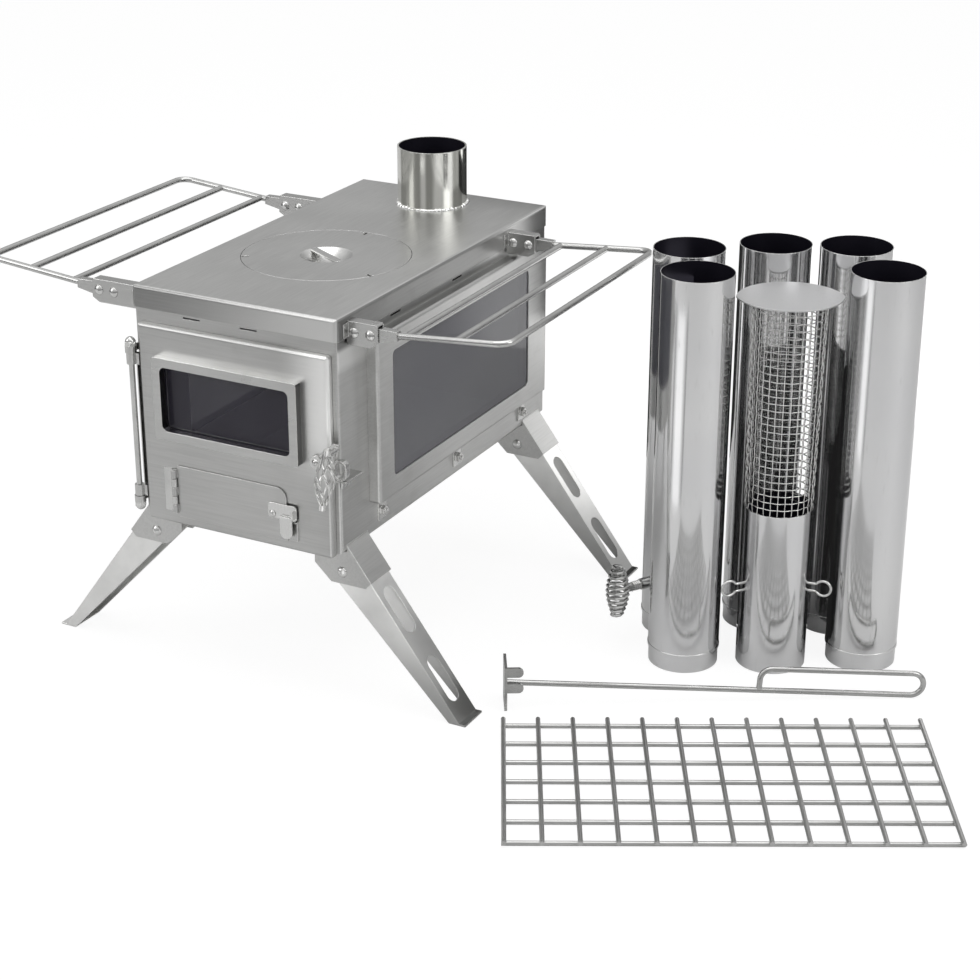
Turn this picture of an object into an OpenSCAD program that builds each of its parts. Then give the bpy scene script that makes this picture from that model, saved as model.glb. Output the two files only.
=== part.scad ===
// Folding tent wood stove with its flue pipes, spark arrestor, damper, ash scraper and log grate.
// X runs to the right seen from the door, Y to the back and Z up. The origin is on the floor,
// below the middle of the firebox.

/* [Stove body] */
// Width over the top plate
body_w = 203; // [190:1:230]
// Length over the top plate
body_l = 383; // [360:1:420]
// Height of the body from its underside to the top plate
body_h = 209; // [200:1:230]
// Height of the underside above the floor
stand_h = 141; // [132:1:150]
// Thickness of the steel sheet
sheet = 1.2; // [1:0.1:1.4]
// Height of the turned-down edge of the top plate
skirt_h = 19.5; // [16:0.5:24]
// Outer radius of the folded edges
fold_r = 3; // [2:0.5:4]

/* [Flue collar] */
// Outer diameter of the collar
collar_od = 65.5; // [62:0.5:70]
// Height of the collar above the top plate
collar_h = 55; // [40:1:70]
// Distance of the collar's axis from the back edge
collar_back = 41.5; // [40:0.5:60]

/* [Hot plate] */
// Radius of the lift-off hot plate
lid_r = 75; // [60:1:80]
// Distance of its centre from the front edge
lid_front = 149.5; // [140:0.5:160]
// Radius of the finger cup in its middle
cup_r = 23.5; // [18:0.5:30]
// Depth of the finger cup
cup_depth = 9; // [6:0.5:12]
// Width of the lifting bar across the cup
bar_w = 7; // [5:0.5:9]
// Angle of the lifting bar
bar_turn = -29.5; // [-60:0.5:60]

/* [Door] */
// Distance of the door's left edge from the left side of the top plate
door_left = 7.5; // [6:0.5:10]
// Distance of the door's right edge from the right side of the top plate
door_right = 6.5; // [6:0.5:10]
// How far the door reaches below the body's underside
door_low = 2.5; // [0:0.5:4]
// Gap from the underside of the top plate's edge to the door
door_drop = 11.5; // [8:0.5:14]
// How far the door stands in front of the top plate's edge
door_proud = 6; // [5:0.5:8]
// Overlap of the door on the edge of its opening
door_lap = 10; // [8:0.5:12]

/* [Door window] */
// Distance of the glass opening's left edge from the door's left edge
pane_in = 23; // [20:0.5:28]
// Distance of the opening's right edge from the door's right edge
pane_out = 37.5; // [34:0.5:42]
// Height of the opening
pane_h = 58; // [46:0.5:60]
// Distance of the opening's top edge from the door's top edge
pane_drop = 35.5; // [30:0.5:38]
// Width of the raised frame round the glass
pane_rim = 8; // [6:0.5:9]
// Thickness of the raised frame
pane_rim_t = 2.5; // [2:0.25:4]
// Thickness of the fire glass
glass_t = 3; // [2.5:0.25:3.5]

/* [Air inlet hatch] */
// Height of the hatch
hatch_h = 48; // [40:0.5:50]
// Distance of the hatch's hinged edge from the door's left edge
hatch_left = 34.5; // [28:0.5:38]
// Distance of the hatch's free edge from the door's right edge
hatch_in = 43.5; // [40:0.5:48]
// Distance of the hatch's lower edge from the door's lower edge
hatch_up = 8.5; // [8:0.5:12]

/* [Door handle] */
// Distance of the handle's rivet from the door's right edge
grip_in = 12; // [11:0.5:15]
// Distance of the handle's rivet from the door's top edge
grip_drop = 93; // [88:0.5:98]
// Largest radius of the twisted wire grip
cage_r = 9; // [7:0.5:10]
// Length of the twisted wire grip
cage_l = 50; // [40:1:56]
// Diameter of the grip's wires
cage_wire = 2.2; // [1.8:0.1:2.6]
// Number of the grip's wires
cage_wires = 6; // [4:1:6]
// Turn of the wires from end to end
cage_turn = 150; // [90:5:180]

/* [Side windows] */
// Distance of the window pan from the front edge
pan_front = 47.5; // [44:0.5:52]
// Distance of the window pan from the back edge
pan_back = 19.5; // [16:0.5:24]
// Distance of the pan's top from the top plate
pan_drop = 28; // [26:0.5:32]
// Distance of the pan's lower edge from the body's underside
pan_up = 30; // [28:1:36]
// How far the pan stands out of the side
pan_proud = 10; // [8:0.5:11]
// Width of the pan's face at its front end
pan_rim_front = 24; // [20:0.5:28]
// Width of the pan's face at its back end
pan_rim_back = 38; // [34:0.5:42]
// Width of the pan's face above and below the glass
pan_rim_z = 18.5; // [16:0.5:22]

/* [Legs] */
// Splay of the legs from upright
leg_splay = 36.7; // [34:0.1:38]
// Distance of the pivot below the body
pivot_drop = 20; // [20:0.5:24]
// Distance of the pivot inside the side wall
pivot_in = 6.5; // [5:0.5:8]
// Distance from the pivot to the outer face of a leg
leg_web_v = 18; // [16:0.5:18]
// Radius of a leg's edge round its pivot
leg_head_r = 11.5; // [10:0.5:12]
// Taper of a leg's inner edge
leg_taper = 7.5; // [6:0.1:8]
// Width of the left legs
leg_wide = 36; // [35:0.5:38]
// Width of the right legs, which fold into the left ones
leg_slim = 30.5; // [29:0.5:31]
// Distance of the front legs' middle from the front edge
leg_front = 25.5; // [24:0.5:30]
// Distance of the rear legs' middle from the back edge
leg_back = 30; // [28:0.5:36]
// Thickness of the leg sheet
leg_t = 1.5; // [1.2:0.1:1.8]

/* [Side racks] */
// Diameter of the rack wire
rack_wire = 5.5; // [4:0.5:6]
// Reach of a rack from its pivot to the outer bar
rack_reach = 123; // [110:1:130]
// Distance of the front arm from the front edge
rack_front = 20.5; // [18:0.5:24]
// Distance of the rear arm from the back edge
rack_back = 78.5; // [74:0.5:84]
// Length by which the left rack is longer at each end
rack_left_more = 6; // [0:0.5:8]
// Upward tilt of a rack
rack_tilt = 5; // [3:0.5:6]
// Number of bars across a rack
rack_bars = 3; // [2:1:4]

/* [Flue pipes] */
// Outer diameter of a pipe
pipe_od = 63.6; // [61:0.1:64.4]
// Length of a pipe
pipe_l = 364; // [330:1:375]
// Wall of a pipe
pipe_wall = 0.6; // [0.6:0.1:1]
// Length of the narrow end that plugs into the next pipe
spigot_l = 15; // [12:1:30]

/* [Damper] */
// Height of the damper's shaft above the lower end
damper_up = 50; // [46:0.5:60]
// Diameter of the damper's shaft
shaft_d = 5; // [4:0.5:6]
// Distance of the handle coil from the pipe's axis
coil_out = 67; // [66:0.5:72]
// Length of the handle coil
coil_l = 48; // [44:1:50]
// Radius of the handle coil at its middle
coil_r = 10; // [8:0.5:10]
// Radius of the handle coil at its ends
coil_end_r = 4.5; // [4:0.25:6]
// Diameter of the handle wire
coil_wire = 3; // [2.5:0.1:3.2]
// Turns of the handle coil
coil_turns = 10; // [8:1:10]

/* [Spark arrestor] */
// Height of the plain tube
arrestor_tube_h = 152; // [130:1:160]
// Height of the top of the mesh
mesh_top = 342; // [320:1:346]
// Distance of the cap's tips from its middle
cap_r = 46; // [42:0.5:46]
// Distance of the cap's arcs from its middle
cap_deep = 39.5; // [36:0.5:42]
// Rows of holes in the mesh
mesh_rows = 12; // [8:1:14]
// Columns of holes round the mesh
mesh_columns = 18; // [12:2:22]

/* [Ash scraper] */
// Diameter of the scraper's rod
scraper_wire = 5; // [4:0.5:6]
// Length over the scraper
scraper_l = 366; // [330:1:370]
// Length of the loop handle
loop_l = 146; // [120:1:150]
// Height of the loop handle
loop_h = 26; // [22:0.5:30]
// Height of the scraper blade
blade_h = 42; // [36:0.5:46]
// Width of the scraper blade
blade_w = 30; // [24:0.5:34]

/* [Log grate] */
// Length of the log grate
grate_l = 359; // [330:1:364]
// Width of the log grate
grate_w = 188; // [170:1:190]
// Diameter of the grate wire
grate_wire = 4; // [3.5:0.25:5]
// Number of wires across the grate
grate_cross = 13; // [9:1:14]
// Number of wires along the grate
grate_long = 7; // [5:1:8]

/* [Fits] */
// Radial clearance of a running pin
run_gap = 0.05; // [0.03:0.01:0.1]
// Gap between pieces that move past each other
move_gap = 0.3; // [0.2:0.05:0.5]
// Radial clearance of a plugged pipe joint
plug_gap = 0.15; // [0.15:0.05:0.3]

/* [Hidden] */
$fn = 64;
small_fn = 24;
cut = 1;

// Places of the body's faces
half_w = body_w / 2;
half_l = body_l / 2;
top_z = stand_h + body_h;
skirt_z = top_z - skirt_h;
wall_x = half_w - sheet;
wall_y = half_l - sheet;
inner_y = wall_y - sheet;
corner_r = 4;

// Flue collar and the weld round its foot
collar_y = half_l - collar_back;
collar_r = collar_od / 2;
collar_wall = 1.5;
bead_r = 1.6;

// Hot plate and its seat
lid_y = lid_front - half_l;
lid_gap = 0.6;
seat_in = 9;
seat_out = 8;
notch_l = 7;
notch_w = 2.6;
notch_first = 92;
notch_step = 120;
bar_t = 1.5;

// Tab slots where the panels are pinned together below the top plate's edge
tab_w = 17;
tab_h = 1.6;
tab_drop = 2;
front_tab_share = [-0.5, 0.06];
side_tab_share = [-0.54, 0.03];

// Door
door_x1 = half_w - door_right;
door_x0 = -half_w + door_left;
door_z1 = skirt_z - door_drop;
door_z0 = stand_h - door_low;
door_y = -half_l - door_proud;
door_back = -wall_y - move_gap;
door_skin_y = door_y + sheet;
mouth_x0 = door_x0 + door_lap;
mouth_x1 = door_x1 - door_lap;
mouth_z0 = door_z0 + door_lap;
mouth_z1 = door_z1 - door_lap;

// Door window
pane_x0 = door_x0 + pane_in;
pane_x1 = door_x1 - pane_out;
pane_z1 = door_z1 - pane_drop;
pane_z0 = pane_z1 - pane_h;
pane_r = 5.5;
glass_lap = 5;
retainer_w = 7;

// Hinge of the door
hinge_out = 8;
hinge_set = 0.5;
hinge_x = door_x0 - hinge_out;
hinge_y = door_y + hinge_set;
hinge_r = 2.5;
hinge_eye_r = 5;
hinge_eye_h = 6;
knuckle_h = 10;
knuckle_tab_t = 1.5;
hinge_top_in = 22;
hinge_low_in = 14;
hinge_top_z = door_z1 - hinge_top_in;
hinge_low_z = door_z0 + hinge_low_in;
hinge_nut_r = 5.2;
hinge_nut_h = 4;
hinge_strap_l = 16;
guard_out = 5;
guard_t = 1;

// Air inlet hatch
hatch_gap = 0.3;
hatch_x1 = door_x1 - hatch_in;
hatch_x0 = door_x0 + hatch_left;
hatch_z0 = door_z0 + hatch_up;
hatch_z1 = hatch_z0 + hatch_h;
hatch_corner = 10;
hatch_lap = 7;
hatch_lap_right = 21;
hatch_pin_r = 1.2;
hatch_barrel_r = 2.5;
hatch_pin_x = hatch_x0 - hatch_barrel_r;
hatch_pin_y = door_y - hatch_gap - hatch_barrel_r;
hatch_out_y = door_y - hatch_gap - sheet;
hatch_barrels = 5;
hatch_pin_in = 4;
hatch_leaf_w = 9;

// Latch of the hatch
latch_from_edge = 13;
latch_from_top = 24;
latch_x = hatch_x1 - latch_from_edge;
latch_z = hatch_z1 - latch_from_top;
latch_pin_r = 1.6;
latch_head_r = 3.2;
latch_head_h = 1.6;
latch_t = 1.5;
latch_gap = 0.2;
latch_in = 4.5;
latch_out = 23.5;
latch_up = 10;
latch_down = 4;
tongue_in = 8.5;
tongue_w = 12;
tongue_drop = 20;
tongue_out = 3;
stop_w = 6;

// Door handle
grip_x = door_x1 - grip_in;
grip_z = door_z1 - grip_drop;
grip_pin_r = 3;
grip_washer_r = 6;
grip_washer_t = 1;
grip_head_h = 2;
lever_t = 2;
lever_h = 8;
lever_y1 = door_y - move_gap;
lever_y0 = lever_y1 - lever_t;
ring_out = 25;
ring_drop = 2;
ring_x = grip_x + ring_out;
ring_z = grip_z - ring_drop;
ring_r = 6.5;
ring_tall = 5;
ring_w = 6;
ring_t = 1.8;
cage_gap = 2;
cage_out = 22;
cage_up = 17;
cage_y = lever_y0 - cage_r - cage_wire - cage_gap;
cage_top_x = grip_x + cage_out;
cage_top_z = grip_z + cage_up;
cage_lean = 7;
cage_hub_r = 3.2;
cage_hub_l = 5;
cage_end_r = 1.7;
cage_rings = 12;
cage_sides = 6;
post_r = 2.5;

// Keeper tongue on the side of the body
keeper_t = 1.5;
keeper_reach = 13;
keeper_l = 16;

// Side windows
pan_x = half_w + pan_proud;
pan_y0 = -half_l + pan_front;
pan_y1 = half_l - pan_back;
pan_z1 = top_z - pan_drop;
pan_z0 = stand_h + pan_up;
view_y0 = pan_y0 + pan_rim_front;
view_y1 = pan_y1 - pan_rim_back;
view_z0 = pan_z0 + pan_rim_z;
view_z1 = pan_z1 - pan_rim_z;
view_r = 5;
side_glass_t = 4;
side_glass_lap = 6;
side_stay_w = 8;
clip_places_share = [0.06, 0.49, 0.9];
clip_w = 14;
clip_h = 21;
clip_lip = 6;
clip_nut_share = 0.62;
clip_nut_r = 4.6;
clip_nut_h = 3.6;
clip_stud_r = 2;
clip_dome_r = 2.6;

// Legs and their brackets
leg_x = half_w - pivot_in;
leg_z = stand_h - pivot_drop;
leg_front_y = -half_l + leg_front;
leg_back_y = half_l - leg_back;
leg_pin_r = 3;
leg_pin_head_r = 5;
leg_pin_head_h = 3;
leg_slot_w = 16;
leg_slots_share = [[0.185, 0.46], [0.61, 0.885]];
lip_out = 5;
bracket_t = 1.5;
bracket_in = 27;
bracket_low_in = 11;
bracket_low_out = 23;
bracket_low = 11;
bracket_side = 4;
plate_up = 16.6;
plate_down = 21;
leg_span = (leg_z + leg_web_v * sin(leg_splay)) / cos(leg_splay);
leg_far = leg_span + pivot_drop;

// Racks
rack_out = 22;
rack_left_out = 41.5;
rack_drop = 14;
rack_x = half_w + rack_out;
rack_left_x = half_w + rack_left_out;
rack_z = top_z - rack_drop;
rack_y0 = -half_l + rack_front;
rack_y1 = half_l - rack_back;
rack_corner_r = 12;
rack_first = 31;
sleeve_head_r = 6.5;
sleeve_end_h = 8;
sleeve_l = 24;
sleeve_w = 7;
cheek_t = 1.5;
cheek_up = 8;
cheek_down = 11;
cheek_out = 7;
cheek_gap = 0.3;
flange_w = 7;
fixed_in = 15.4;
rack_pin_r = 2.5;
rack_pin_head_r = 4.6;
rack_pin_head_h = 2.4;

// Flue pipes
pipe_r = pipe_od / 2;
pipe_bore_r = pipe_r - pipe_wall;
spigot_r = pipe_bore_r - plug_gap;
pipe_bead = 0.4;
pipe_bead_h = 2.5;
kit_turn = 27.65;

// Places of the loose pieces, counted from the stove's right back corner
pipe_front_left_off = [223.5, -166.5];
pipe_front_right_off = [364.5, -89.5];
pipe_back_middle_off = [252, -58.5];
pipe_back_right_off = [317, -32.5];
damper_off = [190, -105.5];
arrestor_off = [294, -131.5];
scraper_off = [122.7, -318.6];
grate_off = [339.9, -357.7];

// Damper
damper_turn = 239.7;
blade_gap = 1.3;
blade_r = spigot_r - pipe_wall - blade_gap;
shaft_r = shaft_d / 2;
shaft_tail = 4;
boss_r = 5.2;
boss_l = 9;
boss_gap = 0.4;
spring_r = 4;
spring_wire = 1.4;
spring_turns = 4;
spring_l = 11;
coil_rings = 8;
coil_sides = 6;
fork_r = 1.5;

// Spark arrestor
arrestor_r = spigot_r;
mesh_t = 1.2;
mesh_lap = 8;
mesh_flare = 2.4;
mesh_bar = 1.8;
mesh_band = 3;
stop_up = 33;
stop_r = 1.6;
stop_h = 0.7;
loop_up = 77;
loop_turn = 20;
loop_r = 7;
loop_wire = 2.4;
loop_foot = 6;
loop_mouth = 60;

// Ash scraper
scraper_turn = 29.7;
blade_t = 2.4;
prong_l = 14;
prong_h = 9;
prong_gap = 6;

// Log grate
grate_turn = 27.5;
grate_stub = 6;
grate_bite = 0.4;

// Point along a leg: u runs down the leg from its pivot and v outward from it
function leg_at(u, v) = [
    leg_x + u * sin(leg_splay) + v * cos(leg_splay),
    leg_z - u * cos(leg_splay) + v * sin(leg_splay)
];

// Flat outline with rounded corners between two opposite corners
module soft_rect(x0, y0, x1, y1, r) {
    translate([x0 + r, y0]) square([x1 - x0 - 2 * r, y1 - y0]);
    translate([x0, y0 + r]) square([x1 - x0, y1 - y0 - 2 * r]);
    for (x = [x0 + r, x1 - r], y = [y0 + r, y1 - r]) translate([x, y]) circle(r);
}

// Extrusions of an outline along X, Y and Z between two places
module span_x(x0, x1) {
    translate([x0, 0, 0]) rotate([90, 0, 90]) linear_extrude(x1 - x0) children();
}

module span_y(y0, y1) {
    translate([0, y1, 0]) rotate([90, 0, 0]) linear_extrude(y1 - y0) children();
}

module span_z(z0, z1) {
    translate([0, 0, z0]) linear_extrude(z1 - z0) children();
}

module rect(x0, y0, x1, y1) {
    translate([x0, y0]) square([x1 - x0, y1 - y0]);
}

module block(x0, y0, z0, x1, y1, z1) {
    translate([x0, y0, z0]) cube([x1 - x0, y1 - y0, z1 - z0]);
}

module rod_x(y, z, x0, x1, r) {
    translate([x0, y, z]) rotate([0, 90, 0]) cylinder(h = x1 - x0, r = r, $fn = small_fn);
}

module rod_y(x, z, y0, y1, r) {
    translate([x, y1, z]) rotate([90, 0, 0]) cylinder(h = y1 - y0, r = r, $fn = small_fn);
}

module rod_z(x, y, z0, z1, r) {
    translate([x, y, z0]) cylinder(h = z1 - z0, r = r, $fn = small_fn);
}

// Domed rivet head on a face, standing up along Z
module dome(r, h) {
    ball = (r * r + h * h) / (2 * h);
    intersection() {
        translate([0, 0, h - ball]) sphere(ball, $fn = small_fn);
        cylinder(h = h + cut, r = r + cut, $fn = small_fn);
    }
}

// Quarter bend of a wire: it starts at the origin along X and turns towards Y
module bend(r, wire_r) {
    translate([0, r, 0]) rotate([0, 0, -90])
        rotate_extrude(angle = 90, $fn = small_fn) translate([r, 0]) circle(wire_r);
}

module mirrored() {
    mirror([1, 0, 0]) children();
}

// One unbroken tube along a list of points, as one closed surface of triangles
function unit(v) = v / norm(v);
function along(path, i) = unit(path[min(i + 1, len(path) - 1)] - path[max(i - 1, 0)]);
function ring(p, t, up, r, n) =
    let (side = unit(cross(t, up)), lift = cross(side, t))
    [for (k = [0 : n - 1]) p + r * (cos(360 * k / n) * side + sin(360 * k / n) * lift)];
module tube(path, r, n, up) {
    last = len(path) - 1;
    points = [for (i = [0 : last]) each ring(path[i], along(path, i), up, r, n)];
    walls = [for (i = [0 : last - 1], k = [0 : n - 1])
        let (a = i * n + k, b = i * n + (k + 1) % n)
        each [[a, b, b + n], [a, b + n, a + n]]];
    start = [for (k = [1 : n - 2]) [0, k + 1, k]];
    end = [for (k = [1 : n - 2]) [last * n, last * n + k, last * n + k + 1]];
    polyhedron(points = points, faces = concat(walls, start, end), convexity = 4);
}

// Least distance between the surfaces of neighbouring turns of a wound tube
function least_gap(path, wire, apart) =
    min([for (i = [0 : len(path) - 1 - apart], j = [i + apart : len(path) - 1])
        norm(path[i] - path[j])]) - wire;

// Outline of the body seen from the front, with its lower edges rounded
module body_face() {
    intersection() {
        soft_rect(-wall_x, stand_h, wall_x, top_z + corner_r, fold_r);
        rect(-wall_x, stand_h, wall_x, top_z - sheet);
    }
}

// Space that the turned-down edge of the top plate leaves for the body
module body_plan() {
    span_z(stand_h, top_z) soft_rect(-wall_x, -wall_y, wall_x, wall_y, corner_r - sheet);
}

// Sheet wrapped as the floor and both sides of the firebox
module body_shell() {
    color("silver") difference() {
        intersection() {
            span_y(-inner_y, inner_y) difference() {
                body_face();
                rect(-wall_x + sheet, stand_h + sheet, wall_x - sheet, top_z);
            }
            body_plan();
        }
        for (s = [-1, 1]) on_side(s) {
            span_x(wall_x - sheet - cut, wall_x + cut)
                soft_rect(view_y0, view_z0, view_y1, view_z1, view_r);
            for (share = side_tab_share)
                block(wall_x - sheet - cut, share * half_l, skirt_z - tab_drop - tab_h,
                    wall_x + cut, share * half_l + tab_w, skirt_z - tab_drop);
        }
    }
}

module on_side(s) {
    if (s > 0) children();
    else mirrored() children();
}

module front_panel() {
    color("silver") intersection() {
        span_y(-wall_y, -inner_y) difference() {
            body_face();
            soft_rect(mouth_x0, mouth_z0, mouth_x1, mouth_z1, view_r);
            for (share = front_tab_share)
                rect(share * half_w, skirt_z - tab_drop - tab_h,
                    share * half_w + tab_w, skirt_z - tab_drop);
        }
        body_plan();
    }
}

module back_panel() {
    color("silver") intersection() {
        span_y(inner_y, wall_y) body_face();
        body_plan();
    }
}

module top_plate() {
    color("lightgray") difference() {
        intersection() {
            span_z(skirt_z, top_z) soft_rect(-half_w, -half_l, half_w, half_l, corner_r);
            span_y(-half_l, half_l) soft_rect(-half_w, skirt_z - skirt_h, half_w, top_z, fold_r);
            span_x(-half_w, half_w) soft_rect(-half_l, skirt_z - skirt_h, half_l, top_z, fold_r);
        }
        span_z(skirt_z - cut, top_z - sheet)
            soft_rect(-wall_x, -wall_y, wall_x, wall_y, corner_r - sheet);
        translate([0, collar_y, skirt_z]) cylinder(h = skirt_h + cut, r = collar_r - collar_wall);
        translate([0, lid_y, skirt_z]) cylinder(h = skirt_h + cut, r = lid_r + lid_gap);
    }
}

// Short tube that takes the first pipe, with the weld bead round its foot
module flue_collar() {
    color("silver") translate([0, collar_y, top_z]) difference() {
        union() {
            cylinder(h = collar_h, r = collar_r);
            rotate_extrude() translate([collar_r, 0]) intersection() {
                circle(bead_r, $fn = small_fn);
                translate([-bead_r, 0]) square([2 * bead_r, bead_r]);
            }
        }
        translate([0, 0, -cut]) cylinder(h = collar_h + 2 * cut, r = collar_r - collar_wall);
    }
}

// Ring welded under the top plate, on which the hot plate rests
module hot_plate_seat() {
    color("gray") translate([0, lid_y, top_z - 2 * sheet]) difference() {
        cylinder(h = sheet, r = lid_r + seat_out);
        translate([0, 0, -cut]) cylinder(h = sheet + 2 * cut, r = lid_r - seat_in);
    }
}

module hot_plate() {
    ball = (cup_r * cup_r + cup_depth * cup_depth) / (2 * cup_depth);
    color("lightgray") translate([0, lid_y, top_z]) difference() {
        union() {
            translate([0, 0, -sheet]) cylinder(h = sheet, r = lid_r);
            intersection() {
                translate([0, 0, ball - cup_depth]) sphere(ball + sheet);
                translate([0, 0, -cup_depth - 2 * sheet])
                    cylinder(h = cup_depth + 2 * sheet, r = cup_r + 2 * sheet);
            }
        }
        translate([0, 0, ball - cup_depth]) sphere(ball);
        for (i = [0 : 2]) rotate([0, 0, notch_first + i * notch_step])
            block(lid_r - notch_l, -notch_w / 2, -sheet - cut, lid_r + cut, notch_w / 2, cut);
    }
}

// Flat bar across the cup, by which the hot plate is lifted
module hot_plate_bar() {
    ball = (cup_r * cup_r + cup_depth * cup_depth) / (2 * cup_depth);
    color("silver") translate([0, lid_y, top_z]) intersection() {
        rotate([0, 0, bar_turn])
            block(-cup_r, -bar_w / 2, -bar_t, cup_r, bar_w / 2, 0);
        translate([0, 0, ball - cup_depth]) sphere(ball);
    }
}

// Folded pan over the side window, built for the right side
module side_pan() {
    difference() {
        intersection() {
            span_x(wall_x, pan_x) soft_rect(pan_y0, pan_z0, pan_y1, pan_z1, fold_r);
            span_y(pan_y0, pan_y1)
                soft_rect(wall_x - pan_proud, pan_z0, pan_x, pan_z1, fold_r);
            span_z(pan_z0, pan_z1)
                soft_rect(wall_x - pan_proud, pan_y0, pan_x, pan_y1, fold_r);
        }
        block(wall_x - cut, pan_y0 + sheet, pan_z0 + sheet,
            pan_x - sheet, pan_y1 - sheet, pan_z1 - sheet);
        span_x(wall_x, pan_x + cut) soft_rect(view_y0, view_z0, view_y1, view_z1, view_r);
    }
}

module side_pan_right() {
    color("darkgray") side_pan();
}

module side_pan_left() {
    color("darkgray") mirrored() side_pan();
}

module side_glass() {
    block(pan_x - sheet - side_glass_t, view_y0 - side_glass_lap, view_z0 - side_glass_lap,
        pan_x - sheet, view_y1 + side_glass_lap, view_z1 + side_glass_lap);
}

module side_glass_right() {
    color([0.4, 0.4, 0.45, 0.6]) side_glass();
}

module side_glass_left() {
    color([0.4, 0.4, 0.45, 0.6]) mirrored() side_glass();
}

// Three clips that hold the lower edge of the pan, each with its nut and stud
module side_clips() {
    for (share = clip_places_share) translate([0, pan_y0 + share * (pan_y1 - pan_y0), pan_z0]) {
        block(wall_x, -clip_w / 2, -clip_h, wall_x + bracket_t, clip_w / 2, 0);
        block(wall_x, -clip_w / 2, -bracket_t, wall_x + clip_lip, clip_w / 2, 0);
        translate([wall_x + bracket_t, 0, -clip_nut_share * clip_h]) rotate([0, 90, 0]) {
            cylinder(h = clip_nut_h, r = clip_nut_r, $fn = 6);
            cylinder(h = clip_nut_h + clip_stud_r, r = clip_stud_r, $fn = small_fn);
        }
    }
}

module side_clips_right() {
    color("gainsboro") side_clips();
}

module side_clips_left() {
    color("gainsboro") mirrored() side_clips();
}

// Places of the door's own knuckles between the eyelets
knuckle_low_z = hinge_low_z + hinge_eye_h + move_gap;
knuckle_top_z = hinge_top_z - hinge_eye_h - move_gap - knuckle_h;

// Two straps welded to the side of the body, whose eyes hold the hinge pin, and the strip that
// closes the gap beside the door between its knuckles
module hinge_eyelets() {
    color("silver") {
        for (z = [hinge_low_z, hinge_top_z - hinge_eye_h]) difference() {
            union() {
                rod_z(hinge_x, hinge_y, z, z + hinge_eye_h, hinge_eye_r);
                block(-wall_x - bracket_t, hinge_y, z,
                    -wall_x, -half_l + hinge_strap_l, z + hinge_eye_h);
                block(hinge_x - bracket_t, hinge_y, z,
                    -wall_x, hinge_y + hinge_eye_r, z + hinge_eye_h);
            }
            rod_z(hinge_x, hinge_y, z - cut, z + hinge_eye_h + cut, hinge_r);
            block(-wall_x, -wall_y, z - cut, 0, 0, z + hinge_eye_h + cut);
        }
        block(hinge_x + guard_out, hinge_y, knuckle_low_z + knuckle_h + move_gap,
            hinge_x + guard_out + guard_t, -wall_y, knuckle_top_z - move_gap);
    }
}

module door_hinge_pin() {
    color("gainsboro") rod_z(hinge_x, hinge_y, hinge_low_z - hinge_nut_h, hinge_top_z + hinge_nut_h,
        hinge_r);
}

// Dome nuts on both ends of the hinge pin
module hinge_pin_nuts() {
    color("gainsboro") for (s = [0, 1])
        translate([hinge_x, hinge_y, s > 0 ? hinge_top_z : hinge_low_z]) mirror([0, 0, 1 - s]) {
            difference() {
                union() {
                    cylinder(h = hinge_nut_h, r = hinge_nut_r, $fn = 6);
                    translate([0, 0, hinge_nut_h]) dome(hinge_nut_r * cos(30), hinge_nut_h);
                }
                translate([0, 0, -cut]) cylinder(h = hinge_nut_h + cut, r = hinge_r, $fn = small_fn);
            }
        }
}

// Outline of one leg seen from the front
module leg_outline() {
    intersection() {
        union() {
            translate([leg_x, leg_z]) circle(leg_head_r);
            intersection() {
                translate([leg_x, leg_z]) circle(leg_web_v);
                polygon([leg_at(-leg_web_v, 0), leg_at(leg_web_v, 0),
                    leg_at(leg_web_v, leg_web_v), leg_at(-leg_web_v, leg_web_v)]);
            }
            polygon([leg_at(0, leg_web_v), leg_at(leg_far, leg_web_v),
                leg_at(leg_far, leg_far * tan(leg_taper) - leg_head_r), leg_at(0, -leg_head_r)]);
        }
        rect(0, 0, leg_x + leg_far, stand_h);
    }
}

// Everything on the pivot's side of a leg's outer sheet
module inside_web(v) {
    polygon([leg_at(-leg_far, v), leg_at(2 * leg_far, v),
        leg_at(2 * leg_far, v - 2 * leg_far), leg_at(-leg_far, v - 2 * leg_far)]);
}

// Tapered channel with two slots in its outer sheet and a lip that stands on the floor
module leg(y, w) {
    foot_x = leg_at(leg_span, leg_web_v).x;
    difference() {
        union() {
            difference() {
                span_y(y - w / 2, y + w / 2) leg_outline();
                span_y(y - w / 2 + leg_t, y + w / 2 - leg_t) inside_web(leg_web_v - leg_t);
            }
            intersection() {
                span_y(y - w / 2 + leg_t, y + w / 2 - leg_t) leg_outline();
                block(0, y - w, 0, leg_x + leg_far, y + w, leg_t);
            }
            block(foot_x - lip_out, y - w / 2, 0, foot_x + lip_out, y + w / 2, leg_t);
        }
        rod_y(leg_x, leg_z, y - w, y + w, leg_pin_r + run_gap);
        for (slot = leg_slots_share) leg_slot(y, slot[0] * leg_span, slot[1] * leg_span);
    }
}

// Round-ended slot through the outer sheet, between two places along the leg
module leg_slot(y, u0, u1) {
    r = leg_slot_w / 2;
    low = leg_at(u0 + r, leg_web_v - 2 * leg_t);
    straight = u1 - u0 - leg_slot_w;
    translate([low.x, y, low.y]) rotate([0, 90 - leg_splay, 0]) {
        for (x = [0, straight]) translate([x, 0, 0])
            cylinder(h = 3 * leg_t, r = r, $fn = small_fn);
        translate([0, -r, 0]) cube([straight, leg_slot_w, 3 * leg_t]);
    }
}

module leg_front_right() {
    color("darkgray") leg(leg_front_y, leg_slim);
}

module leg_front_left() {
    color("darkgray") mirrored() leg(leg_front_y, leg_wide);
}

module leg_rear_right() {
    color("darkgray") leg(leg_back_y, leg_slim);
}

module leg_rear_left() {
    color("darkgray") mirrored() leg(leg_back_y, leg_wide);
}

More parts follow.
